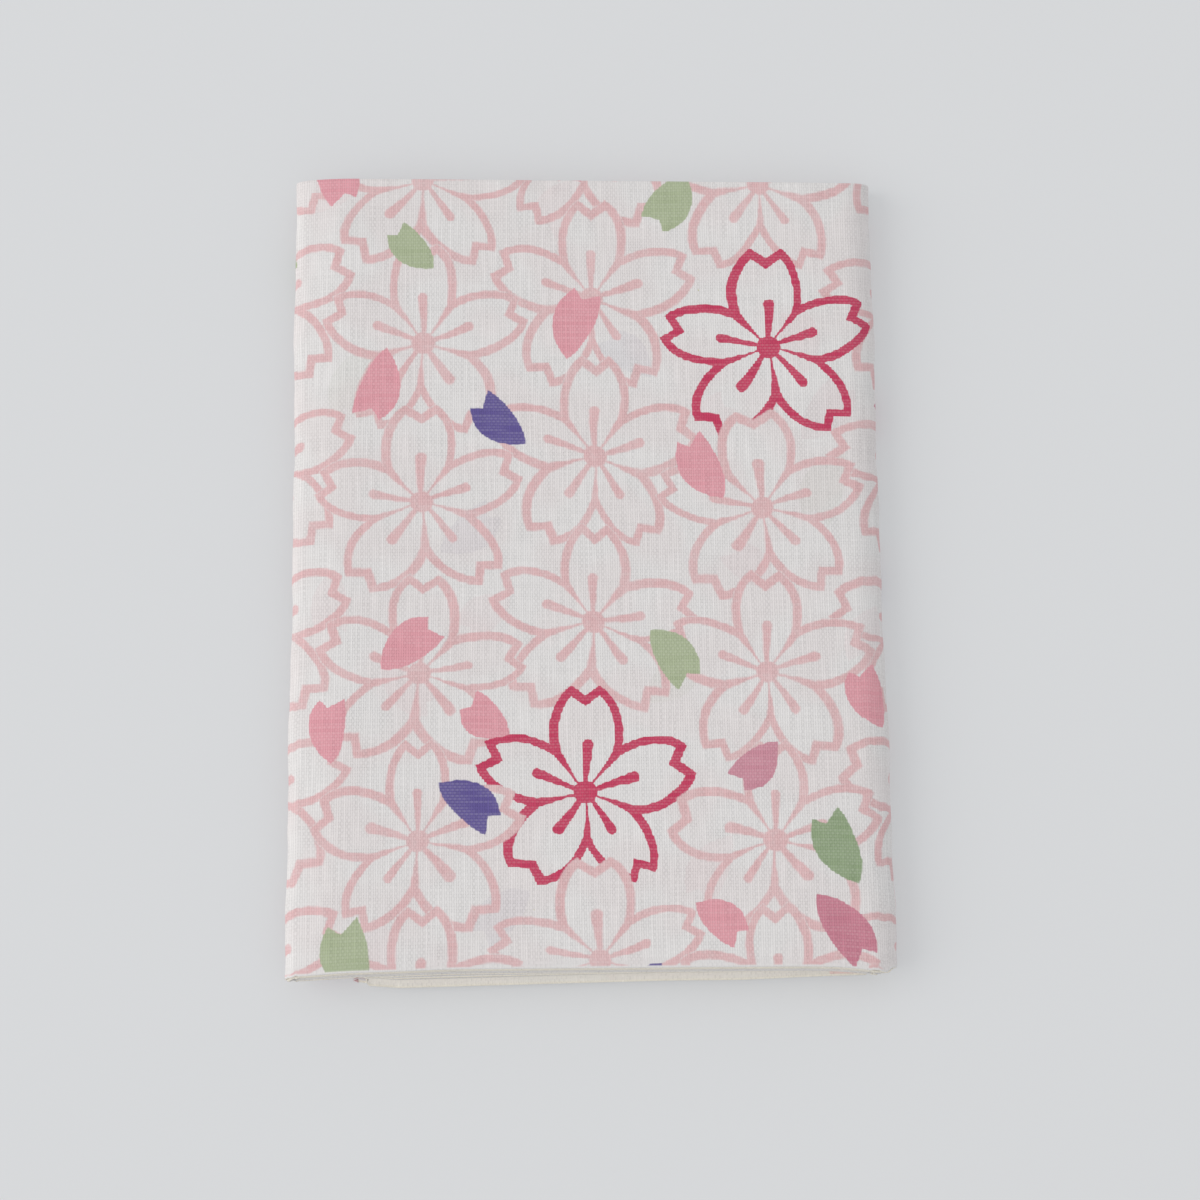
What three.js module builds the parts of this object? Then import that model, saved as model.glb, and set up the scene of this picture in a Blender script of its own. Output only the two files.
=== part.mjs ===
// A thin cotton hand cloth, folded flat, as one solid. Millimetres, Z up from the surface it lies on.
// The cloth is first folded in half across its width: that fold lies at +Y and both selvages at -Y.
// The doubled strip is then halved three times along its length, so that eight doubled layers lie
// one on another. The last fold is off centre: the four upper layers reach further towards -X.
import * as THREE from 'three';

// Driving dimensions of the cloth and its folds
const LAYERS = 8;
const LAYER = 1.0;
const GAP = 0.3;
const CLOTH_WIDTH = 330;
const UPPER_WIDTH = 121.5;
const OVERHANG = 15.2;

// How the soft stack departs from a true block. Sags and waves are shares of the height,
// leans, tapers and skews are slopes, and the rest are lengths.
const FOLD_STRETCH = 1.25;
const RIGHT_LEAN = 0.0235;
const LENGTH_TAPER = 0.000095;
const LOWER_SKEW = 0.021;
const WAIST = { depth: 0.006, half: 30, at: 5 };
const DROOP = 1.7;
const SIDE_SAG = { share: 0.07, reach: 17 };
const ROLL_SAG = { share: 0.06, reach: 6 };
const LONG_WAVE = { share: 0.014, alongX: 19, alongY: 43, start: 1.1 };
const SHORT_WAVE = { share: 0.008, alongX: -31, alongY: 17, start: 0 };
const WIDE_DRIFT = { reach: 0.45, turns: 1.7 };
const FINE_DRIFT = { reach: 0.25, turns: 4.3 };
const SELVAGE_PHASE = 0.2;
const RIM_PHASE = 0.55;
const FREE_ENDS = { first: 1.4, last: -0.9 };

// How finely the folds and the flats are drawn
const RIGHT_FOLD_STEPS = 8;
const LEFT_FOLD_STEPS = 6;
const FLAT_STEP = 12;
const SHORTEST_STEP = 4;
const ROWS = 12;
const RIM_ANGLES = [0, 0.8, 1.32];

// Sizes worked out from the driving dimensions
const PITCH = LAYER + GAP;
const STACK = LAYERS * LAYER + (LAYERS - 1) * GAP;
const HALF_LAYER = LAYER / 2;
const HALF_HEIGHT = CLOTH_WIDTH / 4;
const OUTER_FOLD_RADIUS = (STACK - LAYER) / 2;
const UPPER_FOLD_RADIUS = 1.5 * PITCH;
const LOWER_FOLD_RADIUS = 0.5 * PITCH;
const RIGHT_EDGE = UPPER_WIDTH / 2;
const LEFT_EDGE = -UPPER_WIDTH / 2;
const RIGHT_FOLD_X = RIGHT_EDGE - OUTER_FOLD_RADIUS * FOLD_STRETCH - HALF_LAYER;
const UPPER_FOLD_X = LEFT_EDGE + UPPER_FOLD_RADIUS * FOLD_STRETCH + HALF_LAYER;
const LOWER_EDGE = LEFT_EDGE + OVERHANG;
const LOWER_FOLD_X = LOWER_EDGE + LOWER_FOLD_RADIUS * FOLD_STRETCH + HALF_LAYER;

// The doubled layers in the order in which the strip runs through them, counted from the top.
// The strip runs to +X in the first of them and turns back at the end of each.
const STRIP_ORDER = [7, 2, 3, 6, 5, 4, 1, 8];

// 0 below from, 1 above to, and a soft step between
function softStep(value, from, to) {
  const t = Math.min(1, Math.max(0, (value - from) / (to - from)));
  return t * t * (3 - 2 * t);
}

function layerHeight(layer) {
  return HALF_LAYER + PITCH * (LAYERS - layer);
}

// Where a layer begins at -X: at its left fold, or at the strip's own cut end
function leftEnd(layer) {
  if (layer === STRIP_ORDER[0]) return LOWER_EDGE + FREE_ENDS.first;
  if (layer === STRIP_ORDER[LAYERS - 1]) return LOWER_EDGE + FREE_ENDS.last;
  return layer <= LAYERS / 2 ? UPPER_FOLD_X : LOWER_FOLD_X;
}

// One straight run of the strip, with stations at the same places in every layer
function flatStations(layer, toRight) {
  const from = leftEnd(layer);
  const places = [];
  for (let x = RIGHT_FOLD_X; x > from + SHORTEST_STEP; x -= FLAT_STEP) places.push(x);
  places.push(from);
  const stations = places.map((x) => ({ x, z: layerHeight(layer), nx: 0, nz: toRight ? 1 : -1 }));
  return toRight ? stations.reverse() : stations;
}

// The half turn that joins two layers, without its two end stations, which belong to the layers
function foldStations(fromLayer, toLayer, atRight) {
  const steps = atRight ? RIGHT_FOLD_STEPS : LEFT_FOLD_STEPS;
  const side = atRight ? 1 : -1;
  const startX = atRight ? RIGHT_FOLD_X : leftEnd(fromLayer);
  const radius = (layerHeight(toLayer) - layerHeight(fromLayer)) / 2;
  const middle = (layerHeight(toLayer) + layerHeight(fromLayer)) / 2;
  const reach = Math.abs(radius) * FOLD_STRETCH;
  const stations = [];
  for (let step = 1; step < steps; step += 1) {
    const angle = (Math.PI * step) / steps;
    const alongX = side * reach * Math.cos(angle);
    const alongZ = radius * Math.sin(angle);
    const length = Math.hypot(alongX, alongZ);
    stations.push({
      x: startX + side * reach * Math.sin(angle),
      z: middle - radius * Math.cos(angle),
      nx: -alongZ / length,
      nz: alongX / length,
    });
  }
  return stations;
}

// The whole strip, from its first cut end to its last, as stations with the normal of the sheet
function stripStations() {
  const stations = [];
  STRIP_ORDER.forEach((layer, run) => {
    const toRight = run % 2 === 0;
    stations.push(...flatStations(layer, toRight));
    if (run < LAYERS - 1) stations.push(...foldStations(layer, STRIP_ORDER[run + 1], toRight));
  });
  return stations;
}

// Rows across the cloth from the selvages to the lengthwise fold, whose rim is rounded.
// Share is the way across, beyond the reach past the last full row, fullness the thickness left.
function rowsAcross() {
  const rollStart = 1 - ROLL_SAG.reach / (2 * HALF_HEIGHT);
  const rows = [];
  for (let row = 0; row < ROWS; row += 1) {
    rows.push({ share: (rollStart * row) / (ROWS - 1), beyond: 0, fullness: 1 });
  }
  rows.push({ share: (1 + rollStart) / 2, beyond: 0, fullness: 1 });
  for (const angle of RIM_ANGLES) {
    rows.push({ share: 1, beyond: HALF_LAYER * Math.sin(angle), fullness: Math.cos(angle) });
  }
  return rows;
}

// The edges of the layers don't lie quite true, so each drifts in and out along the strip
function edgeDrift(share, phase) {
  const wide = WIDE_DRIFT.reach * Math.sin(2 * Math.PI * (WIDE_DRIFT.turns * share + phase));
  const fine = FINE_DRIFT.reach * Math.sin(2 * Math.PI * (FINE_DRIFT.turns * share + 2 * phase));
  return wide + fine;
}

// One slow rise and fall of the stack's height
function wave(kind, x, y) {
  return kind.share * Math.sin(x / kind.alongX + y / kind.alongY + kind.start);
}

// The soft unevenness of the stack, as one smooth bending of the space that the layers lie in
function soften(point) {
  const { x, y, z } = point;
  const lower = 1 - softStep(z, STACK / 2 - PITCH, STACK / 2 + PITCH);
  const pastLower = softStep(-x, -LOWER_EDGE, -LEFT_EDGE);
  const waist = WAIST.depth * Math.exp(-(((y - WAIST.at) / WAIST.half) ** 2));
  const lean = (-RIGHT_LEAN * y * (x - LEFT_EDGE)) / UPPER_WIDTH;
  const rightSag = SIDE_SAG.share * softStep(x, RIGHT_EDGE - SIDE_SAG.reach, RIGHT_EDGE);
  const topSag = ROLL_SAG.share * softStep(y, HALF_HEIGHT - ROLL_SAG.reach, HALF_HEIGHT);
  const waves = wave(LONG_WAVE, x, y) + wave(SHORT_WAVE, x, y);
  return new THREE.Vector3(
    x * (1 - waist) + lean,
    y * (1 - LENGTH_TAPER * x) + LOWER_SKEW * lower * Math.min(0, x - RIGHT_FOLD_X),
    z * (1 + waves - rightSag - topSag) - DROOP * pastLower ** 2 * (1 - lower),
  );
}

// A point of the cloth's skin: at a station of the strip, on one face, in one row
function skinPoint(station, share, face, row) {
  const half = face * HALF_LAYER * row.fullness;
  const lowEnd = -HALF_HEIGHT + edgeDrift(share, SELVAGE_PHASE);
  const highEnd = HALF_HEIGHT + edgeDrift(share, RIM_PHASE) - HALF_LAYER;
  const point = new THREE.Vector3(
    station.x + station.nx * half,
    lowEnd + (highEnd - lowEnd) * row.share + row.beyond,
    station.z + station.nz * half,
  );
  return soften(point);
}

// The closed skin: two faces of the sheet, its two long edges and its two cut ends
function clothGeometry() {
  const stations = stripStations();
  const rows = rowsAcross();
  const faces = [1, -1];
  const positions = [];
  stations.forEach((station, index) => {
    const share = index / (stations.length - 1);
    rows.forEach((row) => {
      faces.forEach((face) => positions.push(...skinPoint(station, share, face, row).toArray()));
    });
  });
  const at = (station, row, under) => (station * rows.length + row) * 2 + under;
  const indices = [];
  const quad = (a, b, c, d) => indices.push(a, b, c, a, c, d);
  const lastStation = stations.length - 1;
  const lastRow = rows.length - 1;
  for (let i = 0; i < lastStation; i += 1) {
    for (let j = 0; j < lastRow; j += 1) {
      quad(at(i, j, 0), at(i + 1, j, 0), at(i + 1, j + 1, 0), at(i, j + 1, 0));
      quad(at(i, j, 1), at(i, j + 1, 1), at(i + 1, j + 1, 1), at(i + 1, j, 1));
    }
    quad(at(i, 0, 1), at(i + 1, 0, 1), at(i + 1, 0, 0), at(i, 0, 0));
    quad(at(i, lastRow, 0), at(i + 1, lastRow, 0), at(i + 1, lastRow, 1), at(i, lastRow, 1));
  }
  for (let j = 0; j < lastRow; j += 1) {
    quad(at(0, j, 0), at(0, j + 1, 0), at(0, j + 1, 1), at(0, j, 1));
    quad(at(lastStation, j, 1), at(lastStation, j + 1, 1), at(lastStation, j + 1, 0), at(lastStation, j, 0));
  }
  const geometry = new THREE.BufferGeometry();
  geometry.setAttribute('position', new THREE.Float32BufferAttribute(positions, 3));
  geometry.setIndex(indices);
  return geometry;
}

// The origin is under the middle of the cloth's box, on the surface it lies on
function centreOnSurface(geometry) {
  geometry.computeBoundingBox();
  const { min, max } = geometry.boundingBox;
  geometry.translate(-(min.x + max.x) / 2, -(min.y + max.y) / 2, -min.z);
  geometry.computeVertexNormals();
  return geometry;
}

function foldedCloth() {
  const cotton = new THREE.MeshStandardMaterial({ color: 0xe9e0df, roughness: 0.92, metalness: 0 });
  const cloth = new THREE.Mesh(centreOnSurface(clothGeometry()), cotton);
  cloth.name = 'folded_cloth';
  return cloth;
}

const group = new THREE.Group();
group.add(foldedCloth());

export default group;
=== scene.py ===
# A thin cotton hand cloth with a blossom print, folded flat and lying on a pale table. Metres, Z up.
# The cloth is one continuous sheet on its solid's folds: doubled across its width, then halved
# three times along its length. Its print and weave are worked out on the sheet's own flat map.

import math
from functools import partialmethod

import bpy
import numpy as np
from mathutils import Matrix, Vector


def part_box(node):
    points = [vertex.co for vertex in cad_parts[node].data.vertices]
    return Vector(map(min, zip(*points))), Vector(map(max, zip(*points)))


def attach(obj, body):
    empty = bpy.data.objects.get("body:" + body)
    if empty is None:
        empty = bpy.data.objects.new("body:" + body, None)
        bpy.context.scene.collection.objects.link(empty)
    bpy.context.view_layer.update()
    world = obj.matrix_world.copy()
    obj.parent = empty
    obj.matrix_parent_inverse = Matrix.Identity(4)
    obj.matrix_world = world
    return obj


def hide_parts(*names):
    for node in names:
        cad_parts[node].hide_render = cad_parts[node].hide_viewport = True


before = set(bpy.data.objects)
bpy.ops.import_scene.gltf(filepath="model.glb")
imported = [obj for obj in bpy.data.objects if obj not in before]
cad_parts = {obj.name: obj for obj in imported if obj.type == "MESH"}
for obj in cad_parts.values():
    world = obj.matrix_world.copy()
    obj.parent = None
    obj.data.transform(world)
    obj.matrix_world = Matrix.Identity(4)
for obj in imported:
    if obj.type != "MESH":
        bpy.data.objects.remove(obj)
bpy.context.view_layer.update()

MM = 0.001

# Driving sizes of the cloth and its folds, as in its solid
LAYERS = 8
LAYER = 1.0 * MM
GAP = 0.3 * MM
CLOTH_WIDTH = 0.330
UPPER_WIDTH = 121.5 * MM
OVERHANG = 15.2 * MM
STRIP_ORDER = (7, 2, 3, 6, 5, 4, 1, 8)
FREE_ENDS = {"first": 1.4 * MM, "last": -0.9 * MM}

# How the soft stack departs from a true block, as in its solid
FOLD_STRETCH = 1.25
RIGHT_LEAN = 0.0235
LENGTH_TAPER = 0.000095 / MM
LOWER_SKEW = 0.021
WAIST = {"depth": 0.006, "half": 30 * MM, "at": 5 * MM}
DROOP = 1.7 * MM
SIDE_SAG = {"share": 0.07, "reach": 17 * MM}
ROLL_SAG = {"share": 0.06, "reach": 6 * MM}
LONG_WAVE = {"share": 0.014, "along_x": 19 * MM, "along_y": 43 * MM, "start": 1.1}
SHORT_WAVE = {"share": 0.008, "along_x": -31 * MM, "along_y": 17 * MM, "start": 0.0}
WIDE_DRIFT = {"reach": 0.45 * MM, "turns": 1.7}
FINE_DRIFT = {"reach": 0.25 * MM, "turns": 4.3}
SELVAGE_PHASE = 0.2
RIM_PHASE = 0.55

# The two plies of each doubled layer, and how far the under one reaches past the upper one
PLY = 0.34 * MM
PLY_OFFSET = 0.30 * MM

# How far each layer's outer and inner ply reach past the true edge at the selvages, by layer
SELVAGE_REACH = {
    1: (-0.7 * MM, -0.4 * MM),
    2: (0.05 * MM, -0.15 * MM),
    3: (-0.7 * MM, -0.6 * MM),
    4: (-0.1 * MM, 0.2 * MM),
    5: (-0.3 * MM, 0.65 * MM),
    6: (-0.9 * MM, -0.7 * MM),
    7: (-1.2 * MM, -0.8 * MM),
    8: (-0.6 * MM, -0.9 * MM),
}

# The inner ply of one layer hangs over the selvages below it
HANGING_LAYER = 5
SELVAGE_HANG = {"drop": 2.2 * MM, "reach": 2.8 * MM}

# Small unevenness of the selvages, in and out and up and down. The inner ply's waves start elsewhere.
SELVAGE_WAVER = ((37, 0.12 * MM), (111, 0.05 * MM))
INNER_PLY_START = 3
SELVAGE_SPLAY = {"reach": 6 * MM, "rise": 0.07 * MM, "turns": 29}

# Pulls on the selvage edge of the upper and the lower four layers: where, how wide, how far
UPPER_PULLS = (
    (-60 * MM, 13 * MM, -1.1 * MM),
    (-40 * MM, 9 * MM, -0.35 * MM),
    (61 * MM, 9 * MM, -1.2 * MM),
)
LOWER_PULLS = ((-46 * MM, 2.5 * MM, 1.0 * MM), (30 * MM, 10 * MM, -0.3 * MM))
PULL_REACH = 14 * MM
CORNER = {"reach": 2.6 * MM, "rise": 1.4 * MM}

# The side folds waver in and out: each wave from crest to crest, how far it goes, and its start
FOLD_WAVES = ((41 * MM, 0.13 * MM, 0.4), (17 * MM, 0.09 * MM, 2.1), (7.3 * MM, 0.05 * MM, 4.0))
FOLD_WAVER_REACH = 4 * MM

# Soft creases in the upper layers, in millimetres: middle, direction in degrees, half length, half
# width and rise, which is below 0 for a trough. The first ten lie at the folds and corners, and
# the others on the flat.
CREASES = (
    {"x": -52, "y": 73, "turn": 68, "long": 7, "wide": 1.7, "rise": 0.30},
    {"x": -55, "y": 69, "turn": 72, "long": 6, "wide": 1.8, "rise": -0.26},
    {"x": -9, "y": 81, "turn": 80, "long": 4, "wide": 1.6, "rise": -0.28},
    {"x": -17, "y": 80, "turn": 101, "long": 5, "wide": 1.9, "rise": 0.22},
    {"x": 53, "y": 76, "turn": 24, "long": 8, "wide": 2.6, "rise": -0.32},
    {"x": -57, "y": 22, "turn": 12, "long": 6, "wide": 2.4, "rise": -0.25},
    {"x": 55, "y": 12, "turn": -14, "long": 9, "wide": 3.2, "rise": -0.30},
    {"x": 54, "y": -44, "turn": 31, "long": 9, "wide": 2.8, "rise": 0.26},
    {"x": 51, "y": -74, "turn": 118, "long": 9, "wide": 2.4, "rise": -0.34},
    {"x": -50, "y": -76, "turn": 63, "long": 8, "wide": 2.6, "rise": -0.30},
    {"x": -22, "y": 3, "turn": 4, "long": 26, "wide": 4.5, "rise": -0.20},
    {"x": 26, "y": 7, "turn": -3, "long": 22, "wide": 4.5, "rise": -0.18},
    {"x": 8, "y": -62, "turn": 17, "long": 19, "wide": 4.0, "rise": 0.14},
    {"x": -28, "y": 47, "turn": -22, "long": 17, "wide": 3.8, "rise": 0.13},
)

# The weave's threads, in millimetres from one to the next
WARP_STEP = 0.617
WEFT_STEP = 0.471

# How finely the sheet is drawn
TOP_STEP = 1.6 * MM
HIDDEN_STEP = 6.0 * MM
FOLD_STEP = 0.55 * MM
LEAST_FOLD_STEPS = 8
ACROSS_STEP = 3.2 * MM
ROLL_ANGLES = 8
ROWS_NEAR_ROLL = (0.7 * MM, 1.6 * MM, 3.0 * MM, 5.5 * MM)
ROWS_NEAR_SELVAGE = (0.0, 0.25 * MM, 0.8 * MM, 1.8 * MM, 3.5 * MM, 6.5 * MM)

# Sizes worked out from the driving ones
PITCH = LAYER + GAP
STACK = LAYERS * LAYER + (LAYERS - 1) * GAP
HALF_HEIGHT = CLOTH_WIDTH / 4
RIGHT_EDGE = UPPER_WIDTH / 2
LEFT_EDGE = -UPPER_WIDTH / 2
LOWER_EDGE = LEFT_EDGE + OVERHANG
RIGHT_FOLD_X = RIGHT_EDGE - (STACK - LAYER) / 2 * FOLD_STRETCH - LAYER / 2
UPPER_FOLD_X = LEFT_EDGE + 1.5 * PITCH * FOLD_STRETCH + LAYER / 2
LOWER_FOLD_X = LOWER_EDGE + 0.5 * PITCH * FOLD_STRETCH + LAYER / 2


# Numbers and colours in a node tree

MIX_SHARE = 0
MIX_UNDER = 6
MIX_OVER = 7
MIX_RESULT = 2


def plug(tree, value, place):
    """Feeds a node's input with a plain value, or with what another node puts out."""
    if isinstance(value, Measure):
        tree.links.new(value.socket, place)
    elif isinstance(value, bpy.types.NodeSocket):
        tree.links.new(value, place)
    else:
        place.default_value = value


class Measure:
    """A number in a node tree. Arithmetic on it adds the nodes that work it out."""

    def __init__(self, tree, socket):
        self.tree = tree
        self.socket = socket

    def worked(self, operation, *others):
        node = self.tree.nodes.new("ShaderNodeMath")
        node.operation = operation
        for place, value in zip(node.inputs, (self, *others)):
            plug(self.tree, value, place)
        return Measure(self.tree, node.outputs["Value"])

    __add__ = __radd__ = partialmethod(worked, "ADD")
    __sub__ = partialmethod(worked, "SUBTRACT")
    __mul__ = __rmul__ = partialmethod(worked, "MULTIPLY")
    __truediv__ = partialmethod(worked, "DIVIDE")
    __neg__ = partialmethod(worked, "MULTIPLY", -1.0)
    __abs__ = partialmethod(worked, "ABSOLUTE")
    __rsub__ = partialmethod(worked, "MULTIPLY_ADD", -1.0)
    lowest = partialmethod(worked, "MINIMUM")
    highest = partialmethod(worked, "MAXIMUM")
    sine = partialmethod(worked, "SINE")
    cosine = partialmethod(worked, "COSINE")
    root = partialmethod(worked, "SQRT")
    floor = partialmethod(worked, "FLOOR")

    def wrapped(self, low, high):
        """The same place in a repeat that runs from low to high."""
        return self.worked("WRAP", high, low)

    def eased(self, start, end, low=0.0, high=1.0):
        """low before start, high after end, and a soft step between."""
        node = self.tree.nodes.new("ShaderNodeMapRange")
        node.interpolation_type = "SMOOTHSTEP"
        for place, value in zip(node.inputs, (self, start, end, low, high)):
            plug(self.tree, value, place)
        return Measure(self.tree, node.outputs["Result"])


def length(across, up):
    return (across * across + up * up).root()


def fed(tree, node, values):
    """The node, with its inputs given by name. A line in a name stands for a space."""
    for name, value in values.items():
        plug(tree, value, node.inputs[name.replace("_", " ")])
    return node


def added(tree, kind, **values):
    """A new node of this kind, with its inputs given by name."""
    return fed(tree, tree.nodes.new(kind), values)


def mixed(tree, share, under, over):
    """A colour between under and over."""
    node = tree.nodes.new("ShaderNodeMix")
    node.data_type = "RGBA"
    for index, value in ((MIX_SHARE, share), (MIX_UNDER, under), (MIX_OVER, over)):
        plug(tree, value, node.inputs[index])
    return node.outputs[MIX_RESULT]


def joined(tree, across, up, third=0.0):
    node = tree.nodes.new("ShaderNodeCombineXYZ")
    for place, value in zip(node.inputs, (across, up, third)):
        plug(tree, value, place)
    return node.outputs["Vector"]


def parted(tree, vector):
    """The three numbers of a vector."""
    node = added(tree, "ShaderNodeSeparateXYZ", Vector=vector)
    return [Measure(tree, output) for output in node.outputs]


def noise(tree, across, up, across_size, up_size):
    """A noise node over a place, with lumps of these two sizes. Its mean is a half."""
    place = joined(tree, across / across_size, up / up_size)
    node = added(tree, "ShaderNodeTexNoise", Vector=place, Scale=1.0, Detail=0.0)
    node.noise_dimensions = "2D"
    return node


def chance(tree, across, up, third=0.0):
    """Three numbers from 0 to 1 that differ from one whole-numbered place to the next."""
    node = added(tree, "ShaderNodeTexWhiteNoise", Vector=joined(tree, across, up, third))
    node.noise_dimensions = "3D"
    return parted(tree, node.outputs["Color"])


def chart(tree, place, rows):
    """A row of four numbers from 0 to 1, looked up by a place from 0 to 1 along the rows."""
    node = tree.nodes.new("ShaderNodeValToRGB")
    stops = node.color_ramp.elements
    node.color_ramp.interpolation = "CONSTANT"
    stops.remove(stops[1])
    for number, row in enumerate(rows):
        stop = stops.new(number / len(rows)) if number else stops[0]
        stop.color = row
    plug(tree, place, node.inputs["Fac"])
    return node


SOCKET_KINDS = {"number": "NodeSocketFloat", "colour": "NodeSocketColor"}


class Group:
    """A node group being built: its inputs as numbers by name, and its outputs to fill."""

    def __init__(self, name, inputs, outputs):
        self.tree = bpy.data.node_groups.new(name, "ShaderNodeTree")
        for direction, sockets in (("INPUT", inputs), ("OUTPUT", outputs)):
            for socket_name, kind in sockets.items():
                self.tree.interface.new_socket(
                    name=socket_name, in_out=direction, socket_type=SOCKET_KINDS[kind]
                )
        self.given = self.tree.nodes.new("NodeGroupInput")
        self.result = self.tree.nodes.new("NodeGroupOutput")

    def input(self, name):
        return Measure(self.tree, self.given.outputs[name])

    def output(self, **values):
        fed(self.tree, self.result, values)


def placed(tree, group, **values):
    """One use of a node group, with its own values."""
    node = tree.nodes.new("ShaderNodeGroup")
    node.node_tree = group
    return fed(tree, node, values)


def number_from(tree, node, name):
    return Measure(tree, node.outputs[name])


def new_material(name, finish):
    """A material, its nodes and its shader, with the values that are the same all over it."""
    material = bpy.data.materials.new(name)
    material.use_nodes = True
    shader = material.node_tree.nodes["Principled BSDF"]
    for socket_name, value in finish.items():
        shader.inputs[socket_name].default_value = value
    return material, material.node_tree, shader


# Camera, light and table

IMAGE_WIDTH = 1200
FOCAL_PIXELS = 4119
CAMERA_TILT = math.radians(11)
CAMERA_DISTANCE = 0.840
LOOKED_AT = Vector((1.8 * MM, -5.85 * MM, 10 * MM))
SENSOR_WIDTH = 36.0
NEAREST_SEEN = 0.01
FURTHEST_SEEN = 50


def aimed(name, data, place, aim):
    """A camera or a lamp at one place that looks at another."""
    holder = bpy.data.objects.new(name, data)
    holder.location = place
    holder.rotation_mode = "QUATERNION"
    holder.rotation_quaternion = (Vector(aim) - Vector(place)).to_track_quat("-Z", "Y")
    bpy.context.collection.objects.link(holder)
    return holder


def make_camera():
    """The photograph's view: from above, tilted a little towards the selvages."""
    lens = bpy.data.cameras.new("view_camera")
    lens.sensor_width = SENSOR_WIDTH
    lens.lens = SENSOR_WIDTH * FOCAL_PIXELS / IMAGE_WIDTH
    lens.clip_start = NEAREST_SEEN
    lens.clip_end = FURTHEST_SEEN
    back = Vector((0, -math.sin(CAMERA_TILT), math.cos(CAMERA_TILT)))
    place = LOOKED_AT + CAMERA_DISTANCE * back
    bpy.context.scene.camera = aimed("view_camera", lens, place, LOOKED_AT)


SKY_LEVEL = 0.70
SKY_COLOUR = (0.965, 0.985, 1.0, 1)
WINDOW_PLACE = (-3.2, -0.1, 2.2)
WINDOW_AIM = (0, 0, 0)
WINDOW_SIZE = 4.0
WINDOW_POWER = 68.0
WINDOW_COLOUR = (1.0, 0.97, 0.94)


def make_light():
    """Even daylight from all round, and a broad window to the upper left."""
    world = bpy.data.worlds.new("daylight")
    world.use_nodes = True
    sky = world.node_tree.nodes["Background"]
    sky.inputs["Color"].default_value = SKY_COLOUR
    sky.inputs["Strength"].default_value = SKY_LEVEL
    bpy.context.scene.world = world
    window = bpy.data.lights.new("window", "AREA")
    window.shape = "DISK"
    window.size = WINDOW_SIZE
    window.energy = WINDOW_POWER
    window.color = WINDOW_COLOUR
    aimed("window", window, WINDOW_PLACE, WINDOW_AIM)
    bpy.context.scene.view_settings.view_transform = "Standard"


TABLE_HALF = 2.5
TABLE_COLOUR = (0.435, 0.44, 0.45, 1)
# The table's glow is painted light: an emission that lightens its shadows and the undersides of the cloth
# near it.
TABLE_FINISH_AND_GLOW = {
    "Roughness": 0.75,
    "Specular IOR Level": 0.2,
    "Emission Color": (0.98, 0.99, 1.0, 1),
    "Emission Strength": 0.30,
}
TABLE_DARKEST = 0.98
TABLE_LUMPS = {"Scale": 3.0, "Detail": 2.0}


def make_table():
    """A pale studio tabletop with a trace of unevenness in its tone, which glows a little by itself:
    painted light that lightens the shadows round the cloth.
    """
    mesh = bpy.data.meshes.new("table")
    corners = [(-1, -1), (1, -1), (1, 1), (-1, 1)]
    mesh.from_pydata([(TABLE_HALF * x, TABLE_HALF * y, 0) for x, y in corners], [], [(0, 1, 2, 3)])
    table = bpy.data.objects.new("table", mesh)
    bpy.context.collection.objects.link(table)
    material, tree, shader = new_material("pale_tabletop", TABLE_FINISH_AND_GLOW)
    place = tree.nodes.new("ShaderNodeTexCoord").outputs["Object"]
    lumps = added(tree, "ShaderNodeTexNoise", Vector=place, **TABLE_LUMPS)
    darkest = [TABLE_DARKEST * part for part in TABLE_COLOUR[:3]] + [1]
    tone = mixed(tree, lumps.outputs["Fac"], TABLE_COLOUR, darkest)
    plug(tree, tone, shader.inputs["Base Color"])
    mesh.materials.append(material)


# The folded sheet

def soft_step(value, start, end):
    """0 below start, 1 above end, and a soft step between."""
    t = np.clip((value - start) / (end - start), 0, 1)
    return t * t * (3 - 2 * t)


def layer_height(layer):
    return LAYER / 2 + PITCH * (LAYERS - layer)


def left_end(layer):
    """Where a layer begins at -X: at its left fold, or at the strip's own cut end."""
    if layer == STRIP_ORDER[0]:
        return LOWER_EDGE + FREE_ENDS["first"]
    if layer == STRIP_ORDER[-1]:
        return LOWER_EDGE + FREE_ENDS["last"]
    return UPPER_FOLD_X if layer <= LAYERS / 2 else LOWER_FOLD_X


def flat_stations(layer, to_right):
    """One straight run of the doubled strip, as rows of x, z and the normal's x and z."""
    start = left_end(layer)
    step = TOP_STEP if layer == 1 else HIDDEN_STEP
    count = round((RIGHT_FOLD_X - start) / step)
    x = np.linspace(start, RIGHT_FOLD_X, count + 1)
    if not to_right:
        x = x[::-1]
    up = 1 if to_right else -1
    return np.stack([x, np.full_like(x, layer_height(layer)), 0 * x, np.full_like(x, up)], 1)


def fold_stations(from_layer, to_layer, at_right):
    """The half turn that joins two layers, without its two end stations."""
    side = 1 if at_right else -1
    start_x = RIGHT_FOLD_X if at_right else left_end(from_layer)
    radius = (layer_height(to_layer) - layer_height(from_layer)) / 2
    middle = (layer_height(to_layer) + layer_height(from_layer)) / 2
    reach = abs(radius) * FOLD_STRETCH
    steps = max(LEAST_FOLD_STEPS, round(math.pi * reach / FOLD_STEP))
    angle = math.pi * np.arange(1, steps) / steps
    along_x = side * reach * np.cos(angle)
    along_z = radius * np.sin(angle)
    slope = np.hypot(along_x, along_z)
    x = start_x + side * reach * np.sin(angle)
    z = middle - radius * np.cos(angle)
    return np.stack([x, z, -along_z / slope, along_x / slope], 1)


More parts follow.
